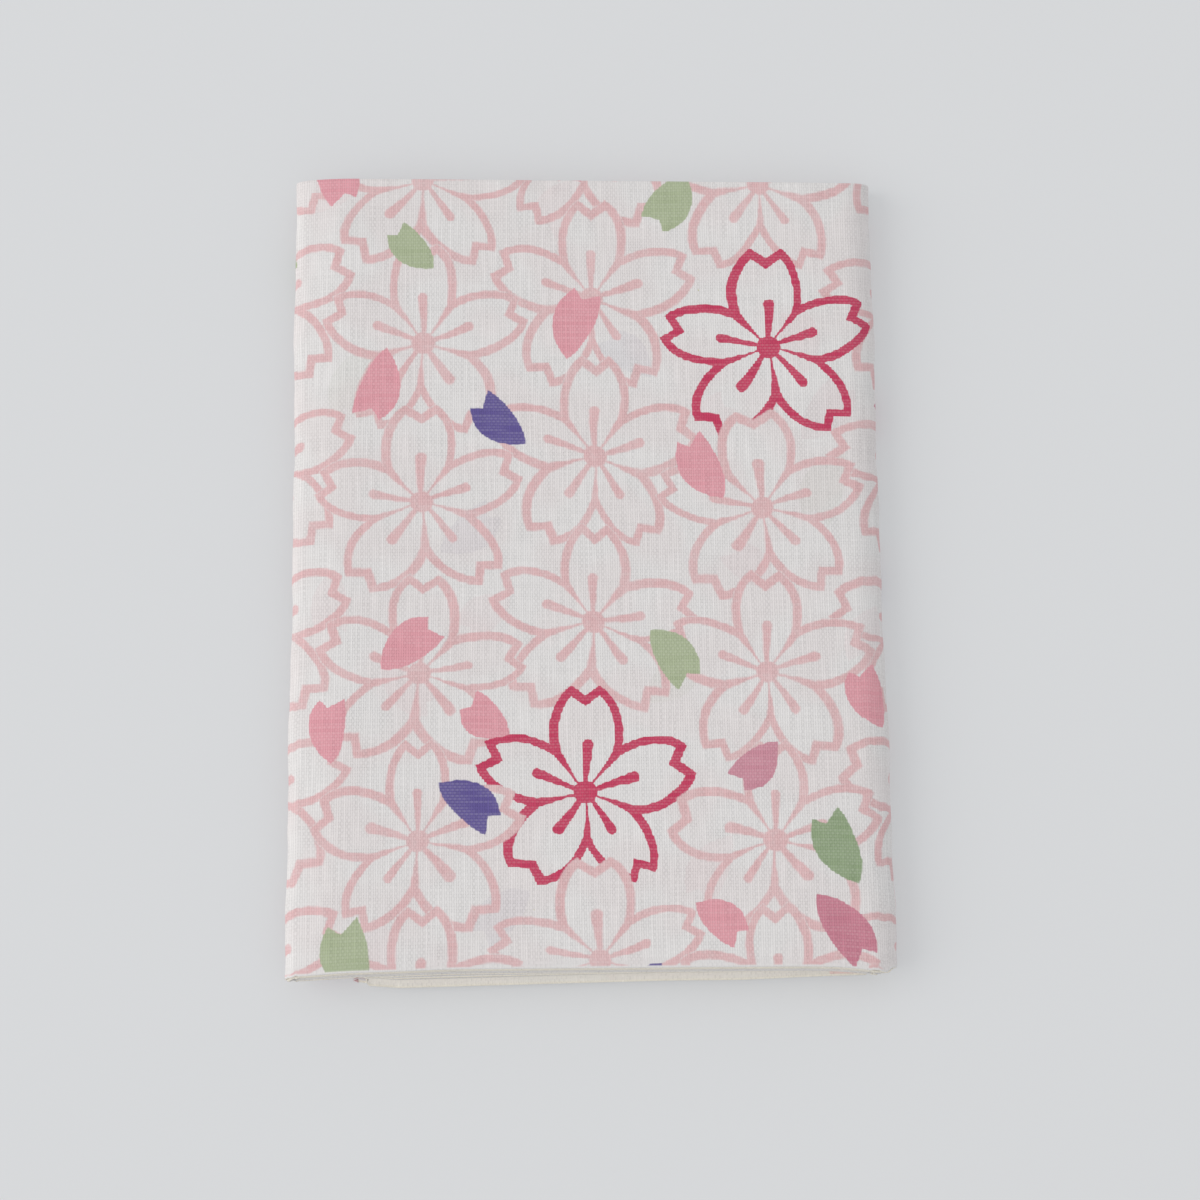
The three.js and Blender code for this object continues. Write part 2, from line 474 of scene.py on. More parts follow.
def strip_stations():
    """The whole strip as stations, the way along it to each, and the run that each is in.

    Runs are counted from 0, and a station part of the way round a fold is part of the way between."""
    rows = []
    runs = []
    for run, layer in enumerate(STRIP_ORDER):
        to_right = run % 2 == 0
        flat = flat_stations(layer, to_right)
        rows.append(flat)
        runs.append(np.full(len(flat), run))
        if run < LAYERS - 1:
            fold = fold_stations(layer, STRIP_ORDER[run + 1], to_right)
            rows.append(fold)
            runs.append(run + np.arange(1, len(fold) + 1) / (len(fold) + 1))
    stations = np.concatenate(rows)
    steps = np.hypot(*np.diff(stations[:, :2], axis=0).T)
    along = np.concatenate([[0], np.cumsum(steps)])
    return stations, along, np.concatenate(runs)


def rows_across():
    """Ways across the sheet from its lengthwise fold: below 0 on the outer ply, above on the inner."""
    half_turn = PLY_OFFSET * math.pi / 2
    half = CLOTH_WIDTH / 2
    near_roll = half_turn + np.array(ROWS_NEAR_ROLL)
    near_selvage = half - np.array(ROWS_NEAR_SELVAGE[::-1])
    count = round((near_selvage[0] - near_roll[-1]) / ACROSS_STEP)
    middle = np.linspace(near_roll[-1], near_selvage[0], count + 1)[1:-1]
    ply = np.concatenate([near_roll, middle, near_selvage])
    turn = np.linspace(-half_turn, half_turn, ROLL_ANGLES + 1)
    return np.concatenate([-ply[::-1], turn, ply])


def edge_drift(share, phase):
    """How far an edge of the strip lies in or out of true, along the strip."""
    wide = WIDE_DRIFT["reach"] * np.sin(2 * math.pi * (WIDE_DRIFT["turns"] * share + phase))
    fine = FINE_DRIFT["reach"] * np.sin(2 * math.pi * (FINE_DRIFT["turns"] * share + 2 * phase))
    return wide + fine


def wave(kind, x, y):
    return kind["share"] * np.sin(x / kind["along_x"] + y / kind["along_y"] + kind["start"])


def pulled(pulls, x):
    return sum(far * np.exp(-(((x - at) / half) ** 2)) for at, half, far in pulls)


def crease_rise(x, y):
    """How far the creases lift or sink the top of the stack at a place."""
    rise = 0 * x
    for crease in CREASES:
        turn = math.radians(crease["turn"])
        from_x = x - crease["x"] * MM
        from_y = y - crease["y"] * MM
        along = (from_x * math.cos(turn) + from_y * math.sin(turn)) / (crease["long"] * MM)
        aside = (from_y * math.cos(turn) - from_x * math.sin(turn)) / (crease["wide"] * MM)
        rise = rise + crease["rise"] * MM * np.exp(-(along**2) - aside**2)
    return rise


def fold_waver(x, y):
    """How far the side folds lie out of line at a place."""
    waves = sum(far * np.sin(2 * math.pi * y / long + start) for long, far, start in FOLD_WAVES)
    left = soft_step(-x, -LEFT_EDGE - FOLD_WAVER_REACH, -LEFT_EDGE)
    right = soft_step(x, RIGHT_EDGE - FOLD_WAVER_REACH, RIGHT_EDGE)
    return waves * (right - left)


def soften(x, y, z):
    """The soft unevenness of the stack, as one smooth bending of the space that the layers lie in."""
    lower = 1 - soft_step(z, STACK / 2 - PITCH, STACK / 2 + PITCH)
    past_lower = soft_step(-x, -LOWER_EDGE, -LEFT_EDGE)
    waist = WAIST["depth"] * np.exp(-(((y - WAIST["at"]) / WAIST["half"]) ** 2))
    lean = -RIGHT_LEAN * y * (x - LEFT_EDGE) / UPPER_WIDTH
    right_sag = SIDE_SAG["share"] * soft_step(x, RIGHT_EDGE - SIDE_SAG["reach"], RIGHT_EDGE)
    top_sag = ROLL_SAG["share"] * soft_step(y, HALF_HEIGHT - ROLL_SAG["reach"], HALF_HEIGHT)
    waves = wave(LONG_WAVE, x, y) + wave(SHORT_WAVE, x, y)
    skew = LOWER_SKEW * lower * np.minimum(0, x - RIGHT_FOLD_X)
    soft_x = x * (1 - waist) + lean + fold_waver(x, y)
    near_selvage = soft_step(-y, HALF_HEIGHT - PULL_REACH, HALF_HEIGHT)
    pull = pulled(UPPER_PULLS, x) * (1 - lower) + pulled(LOWER_PULLS, x) * lower
    corner = CORNER["rise"] * soft_step(x, RIGHT_EDGE - CORNER["reach"], RIGHT_EDGE)
    soft_y = y * (1 - LENGTH_TAPER * x) + skew + (pull + corner) * near_selvage
    crease = crease_rise(x, y) * soft_step(z, 0, STACK)
    soft_z = z * (1 + waves - right_sag - top_sag) - DROOP * past_lower**2 * (1 - lower) + crease
    return soft_x, soft_y, soft_z


def selvage_places(share, runs, inner):
    """How far towards -Y one ply's selvage lies at each station."""
    reaches = [SELVAGE_REACH[layer][inner] for layer in STRIP_ORDER]
    reach = np.interp(runs, range(LAYERS), reaches)
    start = INNER_PLY_START * inner
    waver = sum(far * np.sin(2 * math.pi * turns * share + start) for turns, far in SELVAGE_WAVER)
    return -HALF_HEIGHT + edge_drift(share, SELVAGE_PHASE) - reach + waver


def sheet_points(stations, runs, across, skin):
    """Points of the sheet at each station and row. Skin is 1 on the printed face, -1 on the back."""
    x, z, normal_x, normal_z = (column[:, None] for column in stations.T)
    runs = runs[:, None]
    share = runs / (LAYERS - 1)
    half_turn = PLY_OFFSET * math.pi / 2
    turn = np.clip(across, -half_turn, half_turn) / PLY_OFFSET
    past_turn = (np.abs(across) - half_turn).clip(0) / (CLOTH_WIDTH / 2 - half_turn)
    roll_y = HALF_HEIGHT + edge_drift(share, RIM_PHASE) - LAYER / 2
    selvage_y = np.where(
        across < 0, selvage_places(share, runs, 0), selvage_places(share, runs, 1)
    )
    half = CLOTH_WIDTH / 2
    at_selvage = soft_step(np.abs(across), half - SELVAGE_SPLAY["reach"], half)
    splay = SELVAGE_SPLAY["rise"] * np.sin(2 * math.pi * SELVAGE_SPLAY["turns"] * share) * at_selvage
    hanging = np.clip(1 - np.abs(runs - STRIP_ORDER.index(HANGING_LAYER)), 0, 1)
    hang = SELVAGE_HANG["drop"] * hanging * soft_step(across, half - SELVAGE_HANG["reach"], half)
    out_of_layer = -(PLY_OFFSET + splay + skin * PLY / 2) * np.sin(turn)
    past_roll = (PLY_OFFSET + skin * PLY / 2) * np.cos(turn)
    flat_y = roll_y + (selvage_y - roll_y) * past_turn
    return soften(
        x + normal_x * out_of_layer,
        flat_y + past_roll,
        z + normal_z * out_of_layer - hang,
    )


def sheet_faces(long, wide):
    """Quads of the closed sheet, corner by corner as (station, row, skin), and which kind each is."""
    faces = []
    kinds = []

    def add(kind, *corners):
        faces.append(corners)
        kinds.append(kind)

    for i in range(long - 1):
        for j in range(wide - 1):
            add("printed", (i, j, 0), (i, j + 1, 0), (i + 1, j + 1, 0), (i + 1, j, 0))
            add("back", (i, j, 1), (i + 1, j, 1), (i + 1, j + 1, 1), (i, j + 1, 1))
        add("outer_rim", (i, 0, 0), (i + 1, 0, 0), (i + 1, 0, 1), (i, 0, 1))
        add("inner_rim", (i, wide - 1, 0), (i, wide - 1, 1), (i + 1, wide - 1, 1), (i + 1, wide - 1, 0))
    for j in range(wide - 1):
        add("first_end", (0, j, 0), (0, j, 1), (0, j + 1, 1), (0, j + 1, 0))
        add("last_end", (long - 1, j, 0), (long - 1, j + 1, 0), (long - 1, j + 1, 1), (long - 1, j, 1))
    return faces, kinds


# A second flat map of the sheet, for the print to be kept on. The outer face that shows, from the lower
# part of the upper left fold to the strip's last end, takes most of it, true to size. The faces hidden in
# the stack and the thin rims have narrow bands of even steps below.
SHOWN_FROM = 20 * MM
SHOWN_BAND = (0.12, 1.0)
HIDDEN_BANDS = {"printed": (0.074, 0.116), "back": (0.028, 0.070)}
RIM_BANDS = {"outer_rim": (0.0, 0.005), "inner_rim": (0.008, 0.013)}
END_BAND = (0.016, 0.021)
END_SPANS = {"first_end": (0.0, 0.49), "last_end": (0.51, 1.0)}

# Far less than any two rows lie apart, so that a row is found in spite of rounding
ROUNDING = 1e-9


def between(band, share):
    return band[0] + (band[1] - band[0]) * share


def keeping_map(faces, kinds, along, across, runs):
    """The place of every face corner on the map that the print is kept on."""
    long = len(along)
    wide = len(across)
    upper_left_fold = along[runs > STRIP_ORDER.index(1) - 1][0]
    first_shown = np.searchsorted(along, upper_left_fold - SHOWN_FROM)
    last_row = np.searchsorted(across, PLY_OFFSET * math.pi / 2 - ROUNDING)
    shown_along = (along - along[first_shown]) / (along[-1] - along[first_shown])
    shown_across = (across - across[0]) / (across[last_row] - across[0])
    places = []
    for face, kind in zip(faces, kinds):
        is_shown = (
            kind == "printed"
            and min(i for i, _, _ in face) >= first_shown
            and max(j for _, j, _ in face) <= last_row
        )
        for i, j, k in face:
            if is_shown:
                place = (shown_along[i], between(SHOWN_BAND, shown_across[j]))
            elif kind in HIDDEN_BANDS:
                place = (i / (long - 1), between(HIDDEN_BANDS[kind], j / (wide - 1)))
            elif kind in RIM_BANDS:
                place = (i / (long - 1), between(RIM_BANDS[kind], k))
            else:
                place = (between(END_SPANS[kind], j / (wide - 1)), between(END_BAND, k))
            places.append(place)
    return places


def set_on_solid(points):
    """Slides the sheet to its solid's middle in X and to its lengthwise fold in Y."""
    low, high = (np.array(corner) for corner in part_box("folded_cloth"))
    to_middle = (low[0] + high[0] - points[:, 0].min() - points[:, 0].max()) / 2
    to_fold = high[1] - points[:, 1].max()
    return points + np.array([to_middle, to_fold, 0])


def make_cloth():
    stations, along, runs = strip_stations()
    across = rows_across()
    long = len(stations)
    wide = len(across)
    skins = [np.stack(sheet_points(stations, runs, across, skin), 2) for skin in (1, -1)]
    points = set_on_solid(np.stack(skins, 2).reshape(-1, 3))
    faces, kinds = sheet_faces(long, wide)
    quads = [[(i * wide + j) * 2 + k for i, j, k in face] for face in faces]
    mesh = bpy.data.meshes.new("folded_cloth_soft")
    mesh.from_pydata([tuple(point) for point in points], [], quads)
    flat_places = [(along[i], across[j]) for face in faces for i, j, k in face]
    kept_places = keeping_map(faces, kinds, along, across, runs)
    for name, places in (("cloth", flat_places), ("OFBake", kept_places)):
        values = np.array(places, dtype=np.float32)
        mesh.uv_layers.new(name=name).data.foreach_set("uv", values.ravel())
    is_printed = [0 if kind == "printed" else 1 for kind in kinds]
    mesh.polygons.foreach_set("material_index", is_printed)
    mesh.polygons.foreach_set("use_smooth", [True] * len(quads))
    cloth = bpy.data.objects.new("folded_cloth_soft", mesh)
    bpy.context.collection.objects.link(cloth)
    middles = points.reshape(long, wide, 2, 3).mean(axis=2)
    top_start = along[np.flatnonzero(runs == STRIP_ORDER.index(1))[0]]
    return cloth, top_start, (middles[0], middles[-1])


# The warp threads stand out a little, loose, where the strip was cut at its two ends
FRAY = {
    "Pitch": WARP_STEP * MM,
    "Shortest": 0.4 * MM,
    "Longest": 1.7 * MM,
    "Half": 0.14 * MM,
    "Tip": 0.07 * MM,
    "Lift": 0.30,
    "Swing": 0.55,
}
FRAY_SEED = 7
THREAD_SIDES = 3
THREAD_PARTS = 2
RANDOM_LEAST = {"FLOAT": 2, "FLOAT_VECTOR": 0}


def random_between(tree, kind, least, most, seed):
    """A number or a vector that differs from one thread to the next."""
    node = tree.nodes.new("FunctionNodeRandomValue")
    node.data_type = kind
    first = RANDOM_LEAST[kind]
    plug(tree, least, node.inputs[first])
    plug(tree, most, node.inputs[first + 1])
    plug(tree, seed, node.inputs["Seed"])
    return node.outputs[0 if kind == "FLOAT_VECTOR" else 1]


def fray_tree():
    """Sets a short tapered thread, pointing to -X, at every pitch along the edges of a mesh."""
    tree = bpy.data.node_groups.new("frayed_threads", "GeometryNodeTree")
    kinds = {"Geometry": "NodeSocketGeometry", **{name: "NodeSocketFloat" for name in FRAY}}
    kinds.update({"Seed": "NodeSocketInt", "Material": "NodeSocketMaterial"})
    for name, kind in kinds.items():
        tree.interface.new_socket(name=name, in_out="INPUT", socket_type=kind)
    tree.interface.new_socket(name="Geometry", in_out="OUTPUT", socket_type="NodeSocketGeometry")
    given = tree.nodes.new("NodeGroupInput").outputs
    edge = added(tree, "GeometryNodeMeshToCurve", Mesh=given["Geometry"])
    places = added(tree, "GeometryNodeResampleCurve", Curve=edge.outputs["Curve"])
    places.mode = "LENGTH"
    plug(tree, given["Pitch"], places.inputs["Length"])
    thread = added(
        tree,
        "GeometryNodeMeshCone",
        Vertices=THREAD_SIDES,
        Side_Segments=THREAD_PARTS,
        Radius_Top=given["Tip"],
        Radius_Bottom=given["Half"],
        Depth=1.0,
    )
    lift = Measure(tree, given["Lift"])
    swing = Measure(tree, given["Swing"])
    least_turn = joined(tree, 0.0, -math.pi / 2, -swing)
    most_turn = joined(tree, 0.0, lift - math.pi / 2, swing)
    turn = random_between(tree, "FLOAT_VECTOR", least_turn, most_turn, given["Seed"])
    reach = random_between(tree, "FLOAT", given["Shortest"], given["Longest"], given["Seed"])
    threads = added(
        tree,
        "GeometryNodeInstanceOnPoints",
        Points=places.outputs["Curve"],
        Instance=thread.outputs["Mesh"],
        Rotation=turn,
        Scale=joined(tree, 1.0, 1.0, reach),
    )
    real = added(tree, "GeometryNodeRealizeInstances", Geometry=threads.outputs["Instances"])
    dressed = added(
        tree, "GeometryNodeSetMaterial", Geometry=real.outputs["Geometry"], Material=given["Material"]
    )
    result = tree.nodes.new("NodeGroupOutput")
    plug(tree, dressed.outputs["Geometry"], result.inputs["Geometry"])
    return tree


def make_cut_threads(cut_ends, material):
    """The loose warp threads at both cut ends, as one plain mesh."""
    rows = len(cut_ends[0])
    corners = [tuple(corner) for end in cut_ends for corner in end]
    edges = [(end * rows + row, end * rows + row + 1) for end in (0, 1) for row in range(rows - 1)]
    mesh = bpy.data.meshes.new("cut_edges")
    mesh.from_pydata(corners, edges, [])
    threads = bpy.data.objects.new("cut_threads", mesh)
    bpy.context.collection.objects.link(threads)
    tree = fray_tree()
    modifier = threads.modifiers.new("frayed_threads", "NODES")
    modifier.node_group = tree
    values = {**FRAY, "Seed": FRAY_SEED, "Material": material}
    for item in tree.interface.items_tree:
        if item.in_out == "INPUT" and item.name in values:
            modifier[item.identifier] = values[item.name]
    evaluated = threads.evaluated_get(bpy.context.evaluated_depsgraph_get())
    threads.data = bpy.data.meshes.new_from_object(evaluated)
    threads.modifiers.clear()
    bpy.data.meshes.remove(mesh)
    threads.data.name = "cut_threads"
    threads.data.polygons.foreach_set("use_smooth", [True] * len(threads.data.polygons))
    return threads


# Weave, print and cloth materials. Their places are millimetres on the flat cloth.

THREAD_HALF = {"warp": 0.50, "weft": 0.33}
THREAD_TONE = {"warp": 0.05, "weft": 0.24}
WEFT_SHADE = 0.02
SLUB = {"long": 8.0, "next": 0.8}
SLUB_HALF = {"warp": 0.08, "weft": 0.20}
THREAD_RISE = 0.55
THREAD_STRAY = {"reach": 0.25, "across": 9.0, "up": 13.0}
HOLE_EDGE = 0.45
SUNK_WARP = 0.22
WARP_CREST = (0.55, 0.95)
CREST_SLUB = (0.22, 0.55)
CREST_UNDER_WEFT = 0.4
THREAD_PULL = 0.35
CROSSING_EDGE = 0.05


def thread_profile(from_middle, half):
    """The round top of a thread, 1 along its middle and 0 in the gaps beside it."""
    side = from_middle / half
    return (1 - side * side).highest(0.0).root()


def slub(tree, along_thread, number):
    """How full a thread is at a place along it, from about 0.2 to 0.8, with no likeness to the next one."""
    return number_from(tree, noise(tree, along_thread, number, SLUB["long"], 1 / SLUB["next"]), "Fac")


def weave_group():
    """Plain weave: each thread goes over one and under the next, with small gaps between.

    A thread is thicker and lighter in some stretches than in others. Between two weft threads the warp
    sinks; Gap marks it there by SUNK_WARP of what a hole is marked, and the cloth's material paints shade
    into what Gap marks."""
    group = Group(
        "plain_weave",
        {"Across": "number", "Up": "number"},
        {"Thread across": "number", "Thread up": "number", "Height": "number", "Gap": "number",
         "Tone": "number", "Weft on top": "number", "Crest": "number"},
    )
    tree = group.tree
    straight_across = group.input("Across")
    straight_up = group.input("Up")
    stray = noise(tree, straight_across, straight_up, THREAD_STRAY["across"], THREAD_STRAY["up"])
    stray_across, stray_up, _ = parted(tree, stray.outputs["Color"])
    across = (straight_across + (stray_across - 0.5) * THREAD_STRAY["reach"]) / WEFT_STEP
    up = (straight_up + (stray_up - 0.5) * THREAD_STRAY["reach"]) / WARP_STEP
    column = across.floor()
    row = up.floor()
    weft_slub = slub(tree, straight_up, column)
    warp_slub = slub(tree, straight_across, row)
    weft_half = THREAD_HALF["weft"] + (weft_slub - 0.5) * SLUB_HALF["weft"]
    warp_half = THREAD_HALF["warp"] + (warp_slub - 0.5) * SLUB_HALF["warp"]
    weft = thread_profile(across - column - 0.5, weft_half)
    warp = thread_profile(up - row - 0.5, warp_half)
    weft_height = weft * (1 + THREAD_RISE * ((up + column) * math.pi).sine())
    warp_height = warp * (1 - THREAD_RISE * ((across + row) * math.pi).sine())
    weft_on_top = (weft_height - warp_height).eased(-CROSSING_EDGE, CROSSING_EDGE)
    weft_tone = weft_slub * THREAD_TONE["weft"] + (1 - 0.5 * THREAD_TONE["weft"])
    warp_tone = warp_slub * THREAD_TONE["warp"] + (1 - 0.5 * THREAD_TONE["warp"])
    between_wefts = 1 - weft.eased(0.0, HOLE_EDGE)
    between_warps = 1 - warp.eased(0.0, HOLE_EDGE)
    crest = warp.eased(*WARP_CREST) * warp_slub.eased(*CREST_SLUB)
    group.output(
        Thread_across=straight_across + (column + 0.5 - across) * (WEFT_STEP * THREAD_PULL),
        Thread_up=straight_up + (row + 0.5 - up) * (WARP_STEP * THREAD_PULL),
        Height=weft_height.highest(warp_height),
        Gap=between_wefts * (between_warps * (1 - SUNK_WARP) + SUNK_WARP),
        Tone=warp_tone + (weft_tone - warp_tone - WEFT_SHADE) * weft_on_top,
        Weft_on_top=weft_on_top,
        Crest=crest * (1 - weft_on_top * (1 - CREST_UNDER_WEFT)),
    )
    return group.tree


# One blossom, in millimetres from its heart, before it is widened a little
BLOSSOM_WIDE = 1.05
PETALS = 5
PETAL_TURN = 2 * math.pi / PETALS
FIRST_PETAL = math.pi / 2
PETAL_MIDDLE = 12.2
PETAL_HALF_LONG = {"tip": 9.4, "root": 11.0}
PETAL_BLEND = 0.5
PETAL_HALF_WIDE = 6.2
NOTCH_AT = 18.4
NOTCH_SLOPE = 0.786
HEART = 2.36
STROKE_HALF = {"heart": 0.22, "rim": 0.87, "from": 2.5, "to": 9.0}
STAMEN = {"reach": 9.85, "root": 0.28, "widening": 0.078}
HAND_SWAY = ((2, 0.050, 7.0), (3, 0.035, 11.0))
HAND_REACH = (1, 0.022, 9.0)


def hand_wobble(angle, hand, turns, reach, shift):
    """A slow unevenness round a blossom, different for each hand."""
    return (angle * turns + hand * shift).sine() * reach


def blossom_group():
    """One outlined five-petal blossom round 0, with notched petals and a stamen in each."""
    group = Group(
        "outlined_blossom",
        {name: "number" for name in ("Across", "Up", "Turn", "Reach", "Hand", "Softness")},
        {"Line": "number", "Petals": "number"},
    )
    across = group.input("Across") / BLOSSOM_WIDE
    up = group.input("Up")
    hand = group.input("Hand")
    soft = group.input("Softness")
    angle = up.worked("ARCTAN2", across) - group.input("Turn")
    sway = sum((hand_wobble(angle, hand, *sizes) for sizes in HAND_SWAY), angle - FIRST_PETAL)
    petal_angle = sway.wrapped(-PETAL_TURN / 2, PETAL_TURN / 2)
    radius = length(across, up) / group.input("Reach") * (1 + hand_wobble(angle, hand, *HAND_REACH))
    along = radius * petal_angle.cosine()
    aside = abs(radius * petal_angle.sine())
    from_middle = along - PETAL_MIDDLE
    half_long = from_middle.eased(
        -PETAL_BLEND, PETAL_BLEND, PETAL_HALF_LONG["root"], PETAL_HALF_LONG["tip"]
    )
    oval = length(from_middle / half_long, aside / PETAL_HALF_WIDE)
    oval_slope = length(from_middle / half_long / half_long, aside / PETAL_HALF_WIDE**2)
    in_oval = oval * (1 - oval) / oval_slope
    in_sector = along * math.sin(PETAL_TURN / 2) - aside * math.cos(PETAL_TURN / 2)
    in_notch = (NOTCH_AT + aside * NOTCH_SLOPE - along) * NOTCH_SLOPE
    inside = in_oval.lowest(in_sector).lowest(in_notch)
    stroke = along.eased(STROKE_HALF["from"], STROKE_HALF["to"], STROKE_HALF["heart"], STROKE_HALF["rim"])
    outline = 1 - abs(inside).eased(stroke - soft, stroke + soft)
    stamen_half = along.lowest(STAMEN["reach"]) * STAMEN["widening"] + STAMEN["root"]
    past_stamen = (along - STAMEN["reach"]).highest(0.0)
    stamen = 1 - length(past_stamen, aside).eased(stamen_half - soft, stamen_half + soft)
    heart = 1 - radius.eased(HEART - soft, HEART + soft)
    line = outline.highest(stamen).highest(heart)
    group.output(Line=line, Petals=line.highest(inside.eased(-soft, soft)))
    return group.tree


# One loose petal, in millimetres from its middle, pointing along its turn
PETAL_HALF = {"long": 8.4, "wide": 4.1}
PETAL_ARC = (PETAL_HALF["long"] ** 2 + PETAL_HALF["wide"] ** 2) / (2 * PETAL_HALF["wide"])
PETAL_BEND = 0.022
PETAL_NOTCH = {"at": 3.6, "aside": 0.35, "slope": 0.75, "steep": 0.8}
PETAL_SOFT = 0.12
MOST_STRETCH = 1.5


def loose_petal_group():
    """The loose petal in one cell of the repeat: pointed at one end, notched at the other, bent.

    An empty cell has one too small to see."""
    group = Group(
        "loose_petal",
        {name: "number" for name in ("Across", "Up", "Column", "Row")},
        {"Shape": "number", "Dye": "colour"},
    )
    tree = group.tree
    column = group.input("Column")
    row = group.input("Row")
    number = column.wrapped(0.0, float(CELL_COLUMNS)) + row.wrapped(0.0, float(CELL_ROWS)) * CELL_COLUMNS
    place = (number + 0.5) / (CELL_COLUMNS * CELL_ROWS)
    shapes, dyes = cell_charts()
    shape_chart = chart(tree, place, shapes)
    dye_chart = chart(tree, place, dyes)
    in_column, in_row, turn_share = parted(tree, shape_chart.outputs["Color"])
    long = number_from(tree, shape_chart, "Alpha") * MOST_STRETCH
    wide = number_from(tree, dye_chart, "Alpha") * MOST_STRETCH
    across = group.input("Across") - (column + in_column) * CELL_WIDE
    up = group.input("Up") - (row + in_row) * CELL_HIGH
    turn = turn_share * (2 * math.pi)
    turn_cosine = turn.cosine()
    turn_sine = turn.sine()
    along = (across * turn_cosine + up * turn_sine) / long
    aside = (up * turn_cosine - across * turn_sine) / wide - along * along * PETAL_BEND
    in_arcs = PETAL_ARC - length(along, abs(aside) + (PETAL_ARC - PETAL_HALF["wide"]))
    from_notch = abs(aside + PETAL_NOTCH["aside"])
    in_notch = (along + PETAL_NOTCH["at"] + from_notch * PETAL_NOTCH["slope"]) * PETAL_NOTCH["steep"]
    inside = in_arcs.lowest(in_notch)
    group.output(Shape=inside.eased(-PETAL_SOFT, PETAL_SOFT), Dye=dye_chart.outputs["Color"])
    return group.tree


# The repeat of the print: two kinds of column by turns, and loose petals strewn over them. One
# blossom of each kind is crimson, and lies a little off its place in the column.
# Petals are millimetres from one blossom's heart: dye, across, up, turn in degrees, length and
# width as shares of the plain petal's.
COLUMN_STEP = 35.2
ROW_STEP = 34.4
SECOND_COLUMN_DROP = 24.7
HEIGHTS_APART = 1.0
TILE_COLUMNS = 4
TILE_ROWS = 6
CRIMSON_BLOSSOMS = (
    {"column": 1, "row": 1, "across": 2.2, "up": -1.5},
    {"column": 0, "row": 5, "across": -2.4, "up": -0.4},
)
PALE_REACH = 0.96
CRIMSON_REACH = 0.985
BLOSSOM_STRAY = 1.3
BLOSSOM_TURN = 0.16
LOOSE_PETALS = (
    ("rose", -18, 70, 110, 1.00, 1.05),
    ("green", -3, 55, -52, 0.82, 0.85),
    ("rose", -9, 24, 68, 1.08, 1.05),
    ("violet", 15, 18, -50, 1.00, 1.00),
    ("rose", 32, 40, -112, 1.08, 1.05),
    ("green", 52, 64, 52, 0.95, 1.05),
    ("rose", 57, 9, -64, 1.05, 1.00),
    ("rose", -2, -28, -146, 1.00, 1.00),
    ("green", 52, -32, 122, 0.95, 1.00),
    ("rose", -19, -45.5, -95, 0.93, 0.95),
    ("rose", 12, -44, -45, 0.80, 0.95),
    ("violet", 11, -62, 137, 1.00, 1.00),
    ("mauve", 67, -55, 38, 0.88, 0.90),
    ("deep green", 82.5, -70, -69, 1.12, 1.05),
    ("rose", 60.5, -86, 136, 0.84, 0.90),
    ("deep rose", 85, -88, 122, 1.14, 1.05),
    ("green", -15, -91.5, -80, 1.10, 1.15),
    ("rose", 90, -39, -75, 0.95, 0.95),
    ("rose", 28, 76, -60, 1.00, 1.00),
    ("violet", 42, -100, 35, 0.95, 0.90),
    ("rose", 79, -103, 80, 1.00, 1.00),
    ("mauve", 101, 21, 20, 0.95, 0.90),
    ("violet", 104, -12, -130, 1.00, 0.95),
    ("green", 109, 52, 150, 0.95, 1.00),
)
NO_PETAL = 0.01

# Cells of the repeat, each with one loose petal at the most
CELL_COLUMNS = 4
CELL_ROWS = 8
CELL_WIDE = TILE_COLUMNS * COLUMN_STEP / CELL_COLUMNS
CELL_HIGH = TILE_ROWS * ROW_STEP / CELL_ROWS
FIRST_CELL = {"across": 5, "up": 7}

EDGE_WANDER = ((11.0, 0.9), (1.3, 0.22))
DYE_TAKE = (0.2, 0.6, 0.88, 1.0)
PALE_SOFT = 0.25
CRIMSON_SOFT = 0.08


def column_blossoms(group, blossom, across, up, kind):
    """The lower and the upper blossom near a place in one kind of column, and the lower one's height.

    Each blossom is its pale lines, its crimson lines and the whole of its petals."""
    tree = group.tree
    tile_column = across - kind * COLUMN_STEP
    tile_up = up + kind * SECOND_COLUMN_DROP
    number = (tile_column / (2 * COLUMN_STEP) + 0.5).floor()
    column = number.wrapped(0.0, TILE_COLUMNS / 2)
    from_line = tile_column - number * (2 * COLUMN_STEP)
    lower_row = (tile_up / ROW_STEP).floor()
    crimson = CRIMSON_BLOSSOMS[kind]
    made = []
    for number_up in (lower_row, lower_row + 1):
        row = number_up.wrapped(0.0, float(TILE_ROWS))
        stray_across, stray_up, hand = chance(tree, column, row, float(kind))
        off = abs(column - crimson["column"]) + abs(row - crimson["row"])
        is_crimson = 1 - off.lowest(1.0)
        from_row = tile_up - number_up * ROW_STEP
        node = placed(
            tree,
            blossom,
            Across=from_line + (stray_across - 0.5) * BLOSSOM_STRAY - is_crimson * crimson["across"],
            Up=from_row + (stray_up - 0.5) * BLOSSOM_STRAY - is_crimson * crimson["up"],
            Turn=(hand - 0.5) * BLOSSOM_TURN,
            Reach=is_crimson * (CRIMSON_REACH - PALE_REACH) + PALE_REACH,
            Hand=hand,
            Softness=PALE_SOFT + is_crimson * (CRIMSON_SOFT - PALE_SOFT),
        )
        line = number_from(tree, node, "Line")
        made.append((line * (1 - is_crimson), line * is_crimson, number_from(tree, node, "Petals")))
    return made, lower_row * ROW_STEP - kind * SECOND_COLUMN_DROP


def one_over_other(first, second, first_on_top):
    """Two blossoms as one, the first covering the second, or the other way where first_on_top is 0."""
    first_shown = 1 - second[2] * (1 - first_on_top)
    second_shown = 1 - first[2] * first_on_top
    pale = (first[0] * first_shown).highest(second[0] * second_shown)
    crimson = (first[1] * first_shown).highest(second[1] * second_shown)
    return pale, crimson, first[2].highest(second[2])


